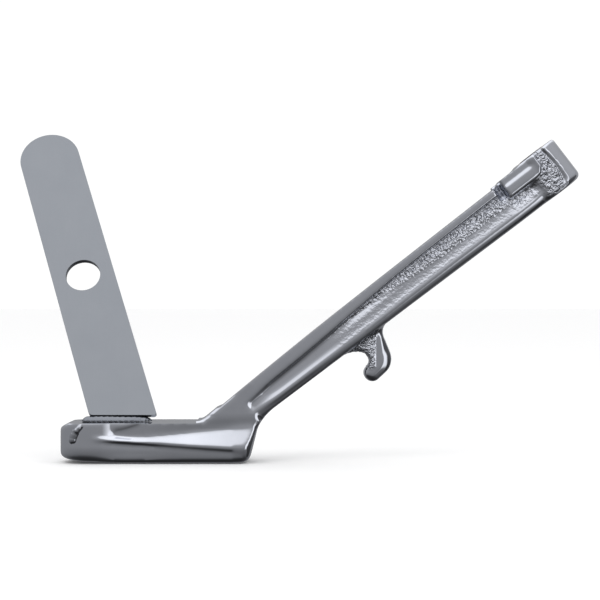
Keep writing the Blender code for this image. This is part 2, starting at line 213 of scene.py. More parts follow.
def joined(name, *parts):
    """One object that holds the meshes of all the parts."""
    bm = bmesh.new()
    for part in parts:
        bm.from_mesh(part.data)
        bpy.data.objects.remove(part)
    return body(name, bm)


def reskin(obj, voxel):
    """An even skin over everything in the object, which melts overlapping parts together."""
    modifier = obj.modifiers.new("even skin", "REMESH")
    modifier.mode = "VOXEL"
    modifier.voxel_size = voxel
    return settle(obj)


# %% [markdown]
# ## The leg: blanks
# The arm and heel are a side outline pushed out across the stand. The corner edges are rounded
# with bevels: a tight one in the crotch, a generous one at the knee. The foot is a block with a
# round nose. The barrel, the hook and the pad beside the notch are separate simple bodies that
# overlap the arm, as a pattern maker would build the pattern from blocks of wood.

# %% Arm and heel blank
FACING = 1.0                # metal left on the top faces for the last cut
TOP_STATIONS = (60.0, 100.0, 130.0, 150.0, 170.0, 190.0, 205.0)     # where the top face bends
INNER_LAP = 12.0            # how far the blank runs on into the foot
CROTCH_R, HEEL_R, KNEE_R, RIM_R = 2.0, 6.0, 10.0, 0.45


def crotch_station():
    """How far along the arm its top face meets the top of the foot."""
    s = 150.0
    while arm_point(s, arm_top(s)).z > FOOT_TOP:
        s += 0.25
    return s


def arm_blank():
    """The side outline of arm and heel, pushed out across the stand and rounded at its corners."""
    top = [arm_point(s, arm_top(s) + FACING) for s in (ARM_START,) + TOP_STATIONS]
    meet = crotch_station()
    crotch = arm_point(meet, arm_top(meet) + FACING)
    lower = arm_point(UNDERSIDE_START, arm_bottom(UNDERSIDE_START))
    fall = arm_point(101.0, arm_bottom(101.0)) - arm_point(100.0, arm_bottom(100.0))
    heel = Vector((HEEL_X, 0.0, GROUND))
    depth = (heel.x - lower.x - HEEL_LEAN * (heel.z - lower.z)) / (fall.x - HEEL_LEAN * fall.z)
    knee = lower + fall * depth
    inner_top = Vector((crotch.x - INNER_LAP, 0.0, crotch.z))
    inner_low = Vector((crotch.x - INNER_LAP, 0.0, GROUND))
    start = arm_point(ARM_START, arm_bottom(ARM_START))
    outline = top + [crotch, inner_top, inner_low, heel, knee, lower, start]
    bm = prism([point - SIDE * HALF_ARM for point in outline], SIDE * 2.0 * HALF_ARM)
    for corner, size in ((crotch, CROTCH_R), (heel, HEEL_R), (knee, KNEE_R)):
        round_off(bm, corners_of(bm, lambda middle, edge: (middle - corner).length < 0.5), size)
    rim = corners_of(bm, lambda middle, edge: abs(abs(middle.y) - HALF_ARM) < 0.01)
    round_off(bm, rim, RIM_R, 2)
    return body("arm blank", bm)


arm = arm_blank()
print("arm blank:", len(arm.data.polygons), "faces")

# %% [markdown]
# ## The leg: the channel
# Both sides of the arm are hollowed to save weight. Under the top flange the floor steps in
# sharply, then it sweeps outwards again to a crest low on the side, and below the crest the
# metal rolls away to the underside. One tool cuts all of that: its section is worked out at
# stations along the arm, and a skin is run through the stations. The depth swells and fades
# with a quarter circle at both ends, and the channel gets shallower before its lower end. A
# plain groove of one section would be quicker, but polished metal shows every change of slope.

# %% The channel along the arm
CHANNEL_START = 8.0
CHANNEL_END = 193.5
NEAR_FADE = 10.0            # length of the soft end by the barrel
FAR_FADE = 1.2              # and of the abrupt one by the foot
SHALLOW_RUN = 18.0          # before the lower end, where the channel gets shallower
SHALLOW = 0.45              # share of the full depth that is left there
NOTCH_START = 23.2
NOTCH_WIDTH = 4.8
FLANGE = 3.9                # height of the top flange by the barrel
FLANGE_GROWTH = 2.6         # towards the foot
PAD_GROWTH = 5.6            # where the pad beside the notch stands
CREST = 5.0                 # above the arm's underside, by the barrel
CREST_FALL = 1.5            # towards the foot


def flange(s):
    """Height of the top flange, or of the pad between the notch and the barrel."""
    pad = PAD_GROWTH * ramp(NOTCH_START + NOTCH_WIDTH - 0.6, NOTCH_START + 0.6, s)
    return FLANGE + FLANGE_GROWTH * ramp(70.0, 165.0, s) + pad


def crest(s):
    """Where the channel's floor meets the rolled lower edge."""
    return arm_bottom(s) + CREST - CREST_FALL * ramp(60.0, 170.0, s)


def quarter_circle(share):
    """Rises steeply from 0 and levels off at 1."""
    return math.sqrt(1.0 - (1.0 - min(max(share, 0.0), 1.0)) ** 2)


def swell(s):
    """How much of the channel's full section there is: it fades out at both ends."""
    shallow = SHALLOW + (1.0 - SHALLOW) * ramp(CHANNEL_END, CHANNEL_END - SHALLOW_RUN, s)
    return (quarter_circle((s - CHANNEL_START) / NEAR_FADE)
            * quarter_circle((CHANNEL_END - s) / FAR_FADE) * shallow)


print("channel's depth:", round(100.0 * swell(100.0)), "% half way,",
      round(100.0 * swell(190.0)), "% near the foot")

# %% The channel's section
CLIMB_HEIGHT = 4.4          # of the slope under the flange
EDGE_GAP = 0.12             # keeps the tool's corners apart


def floor_depth(s, height, full_height):
    """Depth of the floor: a slope under the flange, a level run, and a curl out to the crest."""
    climb = 2.0 * ramp(150.0, 112.0, s)
    level = 0.8 + 0.4 * ramp(112.0, 165.0, s)
    curl = 0.8
    down = 1.0 - height / full_height
    return (climb * (1.0 - min((full_height - height) / CLIMB_HEIGHT, 1.0))
            + level * (1.0 - down ** 2.0) + curl * (1.0 - down ** 6.0))


def channel_section(s, way):
    """Points of the tool's outline at one station, on the side that way points to."""
    full = max(swell(s), 0.02)
    low = crest(s)
    middle = low + 0.5 * (arm_top(s) - flange(s) - low)
    top = middle + (arm_top(s) - flange(s) - middle) * full ** 0.3
    upper_low = middle + (low - middle) * full ** 0.3
    points = [(2.5, top), (0.0, top)]
    steps = 22
    rise = top - EDGE_GAP - upper_low
    for step in range(steps + 1):
        share = 1.0 - step / steps
        height = rise * (share + 0.12 * math.sin(math.tau * share))
        points.append((-floor_depth(s, height, rise) * full - 0.04, upper_low + height))
    roll = low - arm_bottom(s)
    lean = 2.6 + 1.2 * ramp(150.0, 60.0, s)
    cove = 1.3 * ramp(120.0, 165.0, s) * full
    for step in range(1, 13):
        share = step / 12.0
        out = cove * min(share * 4.0, 1.0) + (lean - cove) * (1.0 - math.cos(share * math.pi / 2.0))
        points.append((-out - 0.04, upper_low - (upper_low - low) * share
                       - roll * math.sin(share * math.pi / 2.0)))
    points.append((-lean - 0.5, arm_bottom(s) - 1.5))
    points.append((2.5, arm_bottom(s) - 1.5))
    return [arm_point(s, t, way * (HALF_ARM + out)) for out, t in points]


def channel_tool(way):
    """The tool for one side, with its stations crowded together at both ends."""
    stations = []
    count = 64
    for step in range(count + 1):
        share = 0.5 - 0.5 * math.cos(math.pi * step / count)
        stations.append(CHANNEL_START - 3.0 + (CHANNEL_END + 3.0 - CHANNEL_START) * share)
    return body("channel tool", skin([channel_section(s, way) for s in stations]))


for way in (-1.0, 1.0):
    cut(arm, channel_tool(way))
print("arm with both channels:", len(arm.data.polygons), "faces")

# %% [markdown]
# ## The leg: foot, barrel, hook and pad
# The foot's block gets its nose from a large bevel on two upright edges, and it is then squeezed
# a little towards the nose, as a forged end is. The underside is rolled generously.

# %% Foot blank
NOSE_R = 12.5
FOOT_HEEL_R = 5.0
SOLE_R = 3.2


def foot_blank():
    """A block with a round nose, rolled along the sole and squeezed towards the nose."""
    bm = bmesh.new()
    bmesh.ops.create_cube(bm, size=1.0)
    length = HEEL_X - FOOT_END + 1.0
    top = FOOT_TOP + FACING
    bmesh.ops.scale(bm, vec=(length, 2.0 * HALF_FOOT, top - GROUND), verts=bm.verts)
    bmesh.ops.translate(bm, vec=(FOOT_END + length / 2.0, 0.0, (top + GROUND) / 2.0), verts=bm.verts)
    heel = FOOT_END + length
    for x, size in ((FOOT_END, NOSE_R), (heel, FOOT_HEEL_R)):
        upright = corners_of(bm, lambda middle, edge: abs(middle.x - x) < 0.1
                             and abs(edge.verts[0].co.z - edge.verts[1].co.z) > 1.0)
        round_off(bm, upright, size, 10)
    for z, size in ((GROUND, SOLE_R), (top, 0.5)):
        rim = corners_of(bm, lambda middle, edge: abs(middle.z - z) < 0.01
                         and max(len(face.verts) for face in edge.link_faces) > 4)
        round_off(bm, rim, size, 6)
    bmesh.ops.subdivide_edges(bm, edges=bm.edges, cuts=7, use_grid_fill=True)
    middle_z = (FOOT_TOP + GROUND) / 2.0 - 0.8
    for vert in bm.verts:
        from_end = vert.co.x - FOOT_END
        squeeze = 0.32 * max(1.0 - from_end / 11.0, 0.0) ** 2.2
        if vert.co.z < middle_z:
            squeeze = 0.26 * max(1.0 - from_end / 45.0, 0.0) ** 3.0
        vert.co.z = middle_z + (vert.co.z - middle_z) * (1.0 - squeeze)
        near_heel = ramp(heel - 12.0, heel - 1.0, vert.co.x)
        vert.co.x += HEEL_LEAN * (vert.co.z - GROUND) * near_heel
    return body("foot blank", bm)


foot = foot_blank()
print("foot blank:", len(foot.data.polygons), "faces")

# %% [markdown]
# The barrel is a turned cylinder, tight at its upper rim and rounder at its lower one. The pad
# that backs the lock notch is a prism with a round end. It is milled a step lower near its top,
# which gives it one sloping shoulder that catches the light.

# %% Barrel and pad blanks
def barrel_blank():
    """A cylinder about the pivot's axis, with its rims rounded."""
    bm = bmesh.new()
    bmesh.ops.create_cone(bm, cap_ends=True, segments=96, radius1=BARREL_R, radius2=BARREL_R,
                          depth=BARREL_LENGTH)
    for z, size in ((BARREL_LENGTH / 2.0, 1.0), (-BARREL_LENGTH / 2.0, 2.6)):
        rim = corners_of(bm, lambda middle, edge: abs(middle.z - z) < 0.01)
        round_off(bm, rim, size, 5)
    bmesh.ops.transform(bm, matrix=ACROSS.to_track_quat("Z", "Y").to_matrix().to_4x4(), verts=bm.verts)
    return body("barrel blank", bm)


def pad_blank():
    """The raised pad that backs the lock notch: round towards the barrel, milled flat at its top."""
    depth = HALF_ARM + 2.0
    low, high, end, radius = 0.4, BARREL_LENGTH / 2.0, 1.9, 5.0
    outline = [arm_point(24.2, high), arm_point(24.2, low)]
    for step in range(13):
        angle = math.radians(270.0 - 90.0 * step / 12)
        outline.append(arm_point(end + radius + radius * math.cos(angle),
                                 low + radius + radius * math.sin(angle)))
    outline.append(arm_point(end + 0.8, high))
    bm = prism([point - SIDE * depth for point in outline], SIDE * depth)
    rim = corners_of(bm, lambda middle, edge: abs(middle.y + depth) < 0.01
                     and arm_place(middle)[1] < high - 0.1 and arm_place(middle)[0] < 24.0)
    round_off(bm, rim, 2.6, 6)
    return body("pad blank", bm)


def flat_tool():
    """Mills the upper part of the pad a little lower, with a sloping shoulder."""
    rings = []
    for depth, spread in ((-HALF_ARM - 4.0, 2.2), (-HALF_ARM - 1.1, 0.0)):
        outline = [(30.0, 16.0), (30.0, 7.6 - spread)]
        for step in range(9):
            angle = math.radians(270.0 - 90.0 * step / 8)
            outline.append((6.6 - spread + 2.4 * math.cos(angle), 10.0 - spread + 2.4 * math.sin(angle)))
        outline.append((4.2 - spread, 16.0))
        rings.append([arm_point(s, t, depth) for s, t in outline])
    return body("flat tool", skin(rings))


barrel, pad = barrel_blank(), pad_blank()
print("blanks:", [(part.name, len(part.data.polygons)) for part in (barrel, pad)])

# %% [markdown]
# The hook holds the return spring's eye. Its outline is one run of arcs about the eye's seat. A
# bevel would round all its edges alike, so it is a skin through rings that close in by different
# amounts: a wide facet down its back, and a steep one under its tip.

# %% Hook blank
HOOK_SEAT = arm_point(135.0, -18.3)
HALF_HOOK = 6.0
# depth in from the hook's face, then how far the ring closes in: all round, back, under the tip
HOOK_FACETS = ((0.0, 1.3, 4.4, 3.2), (0.45, 0.7, 2.9, 2.5), (1.0, 0.3, 1.3, 1.7),
               (2.0, 0.0, 0.2, 0.5))


def hook_outline():
    """The hook from the side, seen from the seat of the spring's eye."""
    outline = [Vector((-14.0, 1.2))]
    for x, z, radius, start, stop, steps in (
            (-1.0, -8.9, 14.0, 118.0, 92.0, 6),         # lead in from the arm
            (0.0, 0.0, 5.1, 82.0, -15.0, 12),           # seat of the spring's eye
            (6.8, -5.9, 4.6, 152.0, 300.0, 16),         # rounded tip
            (6.9, 1.3, 9.7, -44.0, 26.0, 10),           # back of the claw
            (17.9, 15.3, 6.0, 196.0, 146.0, 6)):        # fillet back into the arm
        for step in range(steps + 1):
            angle = math.radians(start + (stop - start) * step / steps)
            outline.append(Vector((x + radius * math.cos(angle), z + radius * math.sin(angle))))
    return outline + [Vector((16.5, 25.0)), Vector((-10.0, 9.0))]


def hook_blank():
    """Rings from one face to the other, which close in towards both faces."""
    outline = hook_outline()
    near = [(depth - HALF_HOOK, edge, back, under) for depth, edge, back, under in HOOK_FACETS]
    far = [(-y, edge, back, under) for y, edge, back, under in reversed(near)]
    rings = []
    for y, edge, back, under in near + [(0.0, 0.0, 0.0, 0.0)] + far:
        ring = []
        for index, point in enumerate(outline):
            run = (outline[(index + 1) % len(outline)] - outline[index - 1]).normalized()
            outward = Vector((run.y, -run.x))
            behind = ramp(0.5, 0.9, outward.x) * ramp(14.0, 8.0, point.y)
            below = ramp(0.2, 0.8, -outward.y) * ramp(0.0, -4.0, point.y) * (1.0 - behind)
            size = edge + (back - edge) * behind + (under - edge) * below
            place = point - outward * size
            ring.append(HOOK_SEAT + Vector((place.x, y, place.y)))
        rings.append(ring)
    return body("hook blank", skin(rings))


hook = hook_blank()
print("hook blank:", len(hook.data.polygons), "faces")

# %% [markdown]
# ## The leg: melting the blanks together, then machining
# A voxel remesh wraps one even skin over all the overlapping bodies, and smoothing it gives
# every inner corner a cast fillet. The scoop and the hollow are cut from that skin, the pad is
# laid on, the notch is cut, and the skin is made even after each, so that their edges soften
# too. The top faces and the bore come last, because a cutter leaves them crisp.
#
# The scoop is a flare along the foot's side: its lip falls towards the heel, its floor widens to
# a broad slope that mirrors the sky, and under the lip the foot's face stands back a little.

# %% Scoop and undercut tools
SCOOP_START = FOOT_END + 27.6
SCOOP_END = HEEL_X + 8.0
LIP_START = FOOT_END + 16.0
LIP_END = HEEL_X + 8.0
LIP_HEIGHT = 12.7           # above the ground, where the scoop starts
LIP_FALL = 5.6              # from there to the scoop's end


def lip_height(x):
    """Height of the flare's lip, which falls towards the heel."""
    return GROUND + LIP_HEIGHT - LIP_FALL * (x - SCOOP_START) / (SCOOP_END - SCOOP_START)


def scoop_section(share):
    """Tool outline across the foot: an upright wall at the nose end, a flared slope at the heel."""
    x = SCOOP_START + (SCOOP_END - SCOOP_START) * share
    near = quarter_circle(max(share / 0.04, 0.01))
    middle = GROUND + 15.0
    lip = middle + (lip_height(x) - middle) * near ** 0.7
    top = middle + (FOOT_TOP - 2.8 + 5.6 * ramp(0.02, 0.3, share) - middle) * near ** 0.7
    slope = min(max((share - 0.02) / 0.9, 0.15), 1.0)
    fold = lip + (FOOT_TOP - 0.8 - lip) * slope
    deep = min(0.7 + 4.0 * ramp(0.05, 0.75, share), HALF_FOOT - HALF_ARM + 0.7) * near
    points = [(-3.0, lip), (-0.05, lip), (0.5 * deep, lip + 0.5 * (fold - lip)),
              (0.9 * deep, lip + 0.9 * (fold - lip)), (0.97 * deep, fold),
              (deep, fold + 0.25 * (top - fold)), (0.8 * deep, top), (-3.0, top)]
    return [Vector((x, -HALF_FOOT + inward, z)) for inward, z in points]


def undercut_section(share):
    """Tool outline under the lip: the foot's lower face stands back a little from it."""
    x = LIP_START + (LIP_END - LIP_START) * share
    lip = lip_height(x) - 0.9
    back = max(ramp(0.0, 0.2, share) * (1.0 + 0.7 * ramp(0.5, 0.2, share)), 0.01)
    points = [(-3.0, lip), (-0.02, lip), (0.75 * back, lip - 0.5), (back, lip - 1.2),
              (0.8 * back, GROUND + 5.0), (0.4 * back, GROUND + 2.0), (0.0, GROUND - 1.0),
              (-3.0, GROUND - 1.0)]
    return [Vector((x, -HALF_FOOT + inward, z)) for inward, z in points]


def run_of(section, count=40):
    """A tool skinned through sections that crowd together at both ends of the run."""
    shares = [0.5 - 0.5 * math.cos(math.pi * step / count) for step in range(count + 1)]
    return skin([section(share) for share in shares])


print("scoop is", round(SCOOP_END - SCOOP_START, 1), "mm long")

# %% [markdown]
# The hollow is a shallow dish in the barrel's side, left rough because no polishing wheel
# reaches it. The lock notch is a pocket that a key bolt drops into; its far wall stands askew.

# %% Hollow and notch tools
HOLLOW_DEPTH = 2.3
NOTCH_WALL = 4.0            # left standing on the front side
NOTCH_FLOOR = 2.2           # above the arm's centre line


def hollow_tool():
    """A prism whose outline follows the barrel's rim, the arm's underside and the pad."""
    outline = [(-3.6, 14.0), (-4.8, 8.0), (-5.7, 3.0), (-5.7, -4.0), (-4.9, -8.2), (-3.0, -10.6),
               (0.0, -11.4), (10.0, -11.0), (10.0, -2.0), (7.0, 0.6), (3.0, 2.4), (1.4, 5.5),
               (1.4, 14.0)]
    points = [arm_point(s, t, -BARREL_R - 2.0) for s, t in outline]
    return body("hollow tool", prism(points, SIDE * (HOLLOW_DEPTH + 2.0)))


def notch_tool():
    """A slot from above and from the rear, with a rounded floor."""
    end = NOTCH_START + NOTCH_WIDTH
    outline = [arm_point(s, t, -BARREL_R - 4.0) for s, t in (
        (NOTCH_START, NOTCH_FLOOR), (end, NOTCH_FLOOR), (end, 16.0), (NOTCH_START, 16.0))]
    bm = prism(outline, SIDE * (BARREL_R + 4.0 + HALF_ARM - NOTCH_WALL))
    for vert in bm.verts:
        if vert.co.y > 0.0:
            vert.co.y -= arm_place(vert.co)[0] - NOTCH_START        # the far wall stands askew
    low = corners_of(bm, lambda middle, edge: abs(edge.verts[0].co.y - edge.verts[1].co.y) > 1.0
                     and arm_place(middle)[1] < NOTCH_FLOOR + 1.0)
    round_off(bm, low, 1.0, 4)
    return body("notch tool", bm)


print("notch is", NOTCH_WIDTH, "mm wide and", round(arm_top(NOTCH_START) - NOTCH_FLOOR, 1), "mm deep")

# %% [markdown]
# Smoothing works on chosen places only: long where the arm runs into the foot, at the heel's
# corner and where the scoop runs out into the arm, and hardly at all along the arm's top edges.
# Each place is a test on a point.

# %% Places to soften
def soften(obj, rounds, keep):
    """Relax the chosen points of the skin towards their neighbours."""
    bm = bmesh.new()
    bm.from_mesh(obj.data)
    chosen = [vert for vert in bm.verts if keep(vert.co)]
    for _ in range(rounds):
        bmesh.ops.smooth_vert(bm, verts=chosen, factor=0.5,
                              use_axis_x=True, use_axis_y=True, use_axis_z=True)
    bm.to_mesh(obj.data)
    bm.free()


def by_elbow(point):
    """Where the arm runs into the foot, and where the hook springs from the arm."""
    s, t = arm_place(point)
    elbow = s > 195.0 and point.x > HEEL_X - 34.0
    hook_root = 112.0 < s < 150.0 and -14.5 < t < arm_bottom(s) + 1.0
    return elbow or hook_root


def by_heel(point):
    """The upright rear corner of the heel, where the flare of the foot turns round."""
    return point.x > HEEL_X - 7.0 and point.y < -5.0 and point.z < FOOT_TOP + 1.0


def by_seam(point):
    """Where the scoop's upper end runs out into the side of the arm."""
    return (HEEL_X - 23.0 < point.x < HEEL_X + 6.0 and -2.5 < point.z - FOOT_TOP < 4.5
            and point.y < 3.0 - HALF_ARM)


def by_top_edge(point):
    """The arm's two upper edges, which the wheel leaves almost sharp."""
    s, t = arm_place(point)
    return t > arm_top(s) - 1.3 and abs(point.y) > HALF_ARM - 1.3 and s < 200.0


# %% [markdown]
# A polishing wheel leaves no face truly flat. `crown` bows the flanges, dishes the foot just
# before its scoop, where a soft highlight stands, and rolls the foot's lower face inwards.

# %% One skin
FIRST_VOXEL = 0.7
VOXEL = 0.64
BOW = 0.03                  # of the flanges, as a share of the half width
LOWER_FACE = 8.5            # height of the foot's face that rolls inwards
ROLL = 0.16                 # at the ground, as a share of the half width
DISH_LENGTH = 10.0
DISH_DEPTH = 2.4


def crown(obj):
    """Move the points of the flanges and of the foot's side a little, as the wheel does."""
    for vert in obj.data.vertices:
        s, t = arm_place(vert.co)
        height = vert.co.z - GROUND
        if abs(vert.co.y) > HALF_ARM - 0.5 and 25.0 < s < 185.0 and t > arm_top(s) - flange(s):
            off_middle = (t - arm_top(s)) / flange(s) + 0.62
            vert.co.y *= 1.0 - BOW * off_middle ** 2
        elif vert.co.x < HEEL_X + 4.0 and height < LOWER_FACE and s > 170.0:
            vert.co.y *= 1.0 - ROLL * (1.0 - height / LOWER_FACE) ** 2
        if vert.co.y < -HALF_FOOT + 4.0 and height > 5.0:
            run = (vert.co.x - SCOOP_START) / DISH_LENGTH + 1.0
            dish = DISH_DEPTH * min(max(run, 0.0), 1.0) ** 1.3 * ramp(3.5, 1.05, run)
            above = height - lip_height(vert.co.x) + GROUND
            vert.co.y += dish * ramp(-0.4, 1.2, above)


leg_casting = reskin(joined("leg_casting", arm, foot, barrel, hook), FIRST_VOXEL)
soften(leg_casting, 8, by_elbow)
scoop = body("scoop tool", run_of(scoop_section))
undercut = body("undercut tool", run_of(undercut_section))
for tool in (scoop, undercut, hollow_tool()):
    cut(leg_casting, tool)
cut(pad, flat_tool())
leg_casting = joined("leg_casting", leg_casting, pad)
reskin(leg_casting, VOXEL)
cut(leg_casting, notch_tool())
reskin(leg_casting, VOXEL)
crown(leg_casting)
soften(leg_casting, 1, lambda point: True)
soften(leg_casting, 2, lambda point: not by_top_edge(point))
soften(leg_casting, 24, by_heel)
soften(leg_casting, 20, by_seam)
print("one skin:", len(leg_casting.data.polygons), "faces")

# %% [markdown]
# The last cuts are made as a machinist makes them: one pass over the tops of barrel, pad and
# arm, one over the top of the foot, and a reamer through the barrel.

# %% Facing and boring
BORE_R = 9.0
BARREL_FACE = 11.85         # faces above the arm's centre line
PAD_FACE = 11.2


def facing_tool():
    """What the pass along the arm takes off: down from barrel to pad, then along the arm."""
    end = NOTCH_START + 2.4
    line = [(-20.0, BARREL_FACE), (9.5, BARREL_FACE), (12.0, PAD_FACE + 0.1), (end, PAD_FACE),
            (end, arm_top(end))]
    line += [(s, arm_top(s)) for s in TOP_STATIONS]
    last = TOP_STATIONS[-1]
    line += [(crotch_station() - 2.0, arm_top(last) + 3.0), (last, 30.0), (-20.0, 30.0)]
    return body("facing tool", prism([arm_point(s, t, -20.0) for s, t in line], SIDE * 40.0))


def foot_facing_tool():
    """What the pass along the top of the foot takes off, up to the crotch."""
    meet = crotch_station()
    start, end = FOOT_END - 5.0, arm_point(meet, arm_top(meet)).x - 2.5
    top = FOOT_TOP + 9.0
    outline = [(start, FOOT_TOP), (end, FOOT_TOP), (end, top), (start, top)]
    return body("foot facing tool", prism([Vector((x, -20.0, z)) for x, z in outline], SIDE * 40.0))


def bore_tool():
    """The reamer's path, with a small lead-in chamfer at both mouths."""
    half = BARREL_LENGTH / 2.0
    profile = [(0.0, -half - 3.0), (BORE_R + 3.6, -half - 3.0), (BORE_R, -half + 0.6),
               (BORE_R, half - 0.6), (BORE_R + 3.6, half + 3.0), (0.0, half + 3.0)]
    bm = bmesh.new()
    verts = [bm.verts.new((radius, 0.0, height)) for radius, height in profile]
    edges = [bm.edges.new(pair) for pair in zip(verts, verts[1:])]
    bmesh.ops.spin(bm, geom=verts + edges, cent=(0.0, 0.0, 0.0), axis=(0.0, 0.0, 1.0),
                   angle=math.tau, steps=96, use_merge=True)
    bmesh.ops.remove_doubles(bm, verts=bm.verts, dist=0.001)
    bmesh.ops.recalc_face_normals(bm, faces=bm.faces)
    bmesh.ops.transform(bm, matrix=ACROSS.to_track_quat("Z", "Y").to_matrix().to_4x4(), verts=bm.verts)
    return body("bore tool", bm)


for tool in (facing_tool(), foot_facing_tool(), bore_tool()):
    cut(leg_casting, tool)
print("faced and bored:", len(leg_casting.data.polygons), "faces")

# %% [markdown]
# ## The leg: the skin of the mould
# The polishing wheel reaches the flanges, the crest and the foot, but not the hollows: there the
# grainy skin of the mould is still under the chrome. A mask says how rough each place is. It
# moves the points by a little noise, which is real relief, and it is stored on the points, so
# the chrome's finish can read it too.

# %% Cast skin
GRAIN_HEIGHT = 0.42
GRAIN_SIZE = 1.25


def cast_skin(point):
    """0 where the wheel has polished the metal, up to 1 where the mould's grain is left."""
    s, t = arm_place(point)
    # the channel's floor, from just under the flange downwards, less and less towards the foot
    under = arm_top(s) - flange(s) - t
    reach = 0.2 + 7.0 * ramp(150.0, 60.0, s)
    channel = ramp(0.1, 1.0, under) * (0.75 * ramp(reach + 0.5, reach - 2.5, under) + 0.1)
    channel *= 0.4 + 0.6 * ramp(NOTCH_START, NOTCH_START + 6.0, s)
    channel *= ramp(6.0, 12.0, s) * ramp(141.0, 133.0, s)
    channel *= ramp(HALF_ARM - 0.1, HALF_ARM - 0.6, abs(point.y))
    channel *= ramp(6.5, 7.3, abs(point.y)) * ramp(crest(s) - 0.5, crest(s) + 1.5, t)
    # the root of the hook
    from_seat = point - HOOK_SEAT
    root = ramp(-10.4, -12.0, t) * ramp(9.0, 6.0, from_seat.x) * ramp(-5.0, -1.0, from_seat.z)
    root *= ramp(112.0, 120.0, s) * ramp(146.0, 142.0, s)
    # the hollow in the barrel's side, inside its rim and round the pad
    dish = ramp(-4.8 + 0.12 * abs(t), -3.6 + 0.12 * abs(t), s) * ramp(9.0, 4.0, s) * ramp(-11.2, -9.8, t)
    dish *= ramp(2.4, 1.4, s) if t > 2.4 else 1.0
    dish *= ramp(-BARREL_R + 1.6, -BARREL_R + 1.9, point.y) * ramp(-6.0, -7.0, point.y)
    return max(channel, 0.8 * root, dish)


def add_grain(obj, mask, height, size):
    """Move each point along its normal by noise, and store the mask on the points."""
    bm = bmesh.new()
    bm.from_mesh(obj.data)
    bm.normal_update()
    store = bm.verts.layers.float.new("cast")
    for vert in bm.verts:
        amount = mask(vert.co)
        vert[store] = amount
        if amount > 0.01:
            bump = noise.noise(vert.co / size) + 0.6 * noise.noise(vert.co / (0.55 * size))
            vert.co += vert.normal * (bump * height * amount)
    bm.to_mesh(obj.data)
    bm.free()


add_grain(leg_casting, cast_skin, GRAIN_HEIGHT, GRAIN_SIZE)
rough = sum(1 for vert in leg_casting.data.vertices if cast_skin(vert.co) > 0.5)
print("points left as cast:", rough, "of", len(leg_casting.data.vertices))

# %% [markdown]
# A finished piece is scaled to metres, with its place in its mesh and its object left at the
# origin. It then rides an empty made for the leg, and takes the plain leg's place.

# %% Finished leg
def finished(obj, sharp=40.0):
    """Scale a piece to metres and shade it smooth, but for its real corners."""
    obj.data.transform(Matrix.Scale(MM, 4))
    obj.data.shade_smooth()
    obj.data.set_sharp_from_angle(angle=math.radians(sharp))
    return obj


finished(leg_casting, 50.0)
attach(leg_casting, "leg")
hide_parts("leg")
print("finished leg:", len(leg_casting.data.polygons), "faces")

# %% [markdown]
# ## The kick tab
# A strip of flat bar: square at the foot, half round at the top, with one plain hole. It leans
# forwards, so its outline is drawn flat, given its thickness, drilled, and only then stood up.
# A bevel breaks every edge, and weighted normals keep the two big faces truly flat.

# %% Kick tab
TAB_WIDTH = 33.4
TAB_LENGTH = 181.0
TAB_THICKNESS = 3.2
TAB_LEAN = math.radians(27.0)
TAB_SIDE_LEAN = math.radians(18.0)
TAB_X = -217.6
TAB_FOOT = 3.4              # lower edge above the foot, on top of the weld
HOLE_R = 9.3
HOLE_RISE = 86.0            # along the tab's middle, from its lower edge


def tab_stand():
    """Turns the flat drawing up into the tab's place: X across, Y up the tab, Z out of its face."""
    up = Vector((0.0, math.sin(TAB_LEAN), math.cos(TAB_LEAN)))
    right = Vector((1.0, 0.0, 0.0))
    turn = Matrix((right, up, right.cross(up))).transposed().to_4x4()
    return Matrix.Translation((TAB_X, 0.0, FOOT_TOP + TAB_FOOT)) @ turn


def kick_tab_piece():
    """The strip drawn flat, drilled, its edges broken, and stood up."""
    half = TAB_WIDTH / 2.0
    lean = math.tan(TAB_SIDE_LEAN)
    straight = (TAB_LENGTH - half) * math.cos(TAB_SIDE_LEAN)
    across = half / math.cos(TAB_SIDE_LEAN)
    outline = [Vector((-across, 0.0, 0.0)), Vector((across, 0.0, 0.0))]
    for step in range(49):
        angle = TAB_SIDE_LEAN + math.pi * step / 48
        outline.append(Vector((half * math.cos(angle) - lean * straight,
                               half * math.sin(angle) + straight, 0.0)))
    bm = prism(outline, Vector((0.0, 0.0, -TAB_THICKNESS)))
    low = corners_of(bm, lambda middle, edge: abs(middle.y) < 0.01 and abs(middle.x) > across - 0.1)
    round_off(bm, low, 2.0, 6)
    plate = body("kick_tab_plate", bm)
    rise = HOLE_RISE * math.cos(TAB_SIDE_LEAN)
    drill = bmesh.new()
    bmesh.ops.create_cone(drill, cap_ends=True, segments=96, radius1=HOLE_R, radius2=HOLE_R, depth=20.0,
                          matrix=Matrix.Translation((-lean * rise, rise, 0.0)))
    cut(plate, body("drill", drill))
    edge_break = plate.modifiers.new("broken edges", "BEVEL")
    edge_break.width = 0.8
    edge_break.segments = 4
    edge_break.limit_method = "ANGLE"
    edge_break.angle_limit = math.radians(50.0)
    settle(plate)
    plate.data.transform(tab_stand())
    finished(plate)
    flats = plate.modifiers.new("flat faces", "WEIGHTED_NORMAL")
    flats.keep_sharp = True
    return plate


kick_tab = kick_tab_piece()
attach(kick_tab, "leg")
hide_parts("kick_tab")
print("kick tab:", len(kick_tab.data.polygons), "faces")

# %% [markdown]
# ## The weld
# A hand-laid bead is a row of overlapping puddles. Its ridge is a skin through rings along the
# seam; each puddle makes the rings swell and shrink, and the rings lean over like fish scales.
# A short second run goes over the foot's corner.

# %% A bead of puddles
BEAD_SIDES = 20


def puddles(share, count):
    """Swelling of the bead: a steep front and a slow tail for every puddle."""
    phase = (share * count) % 1.0
    return 1.0 - 0.09 * phase ** 2.0


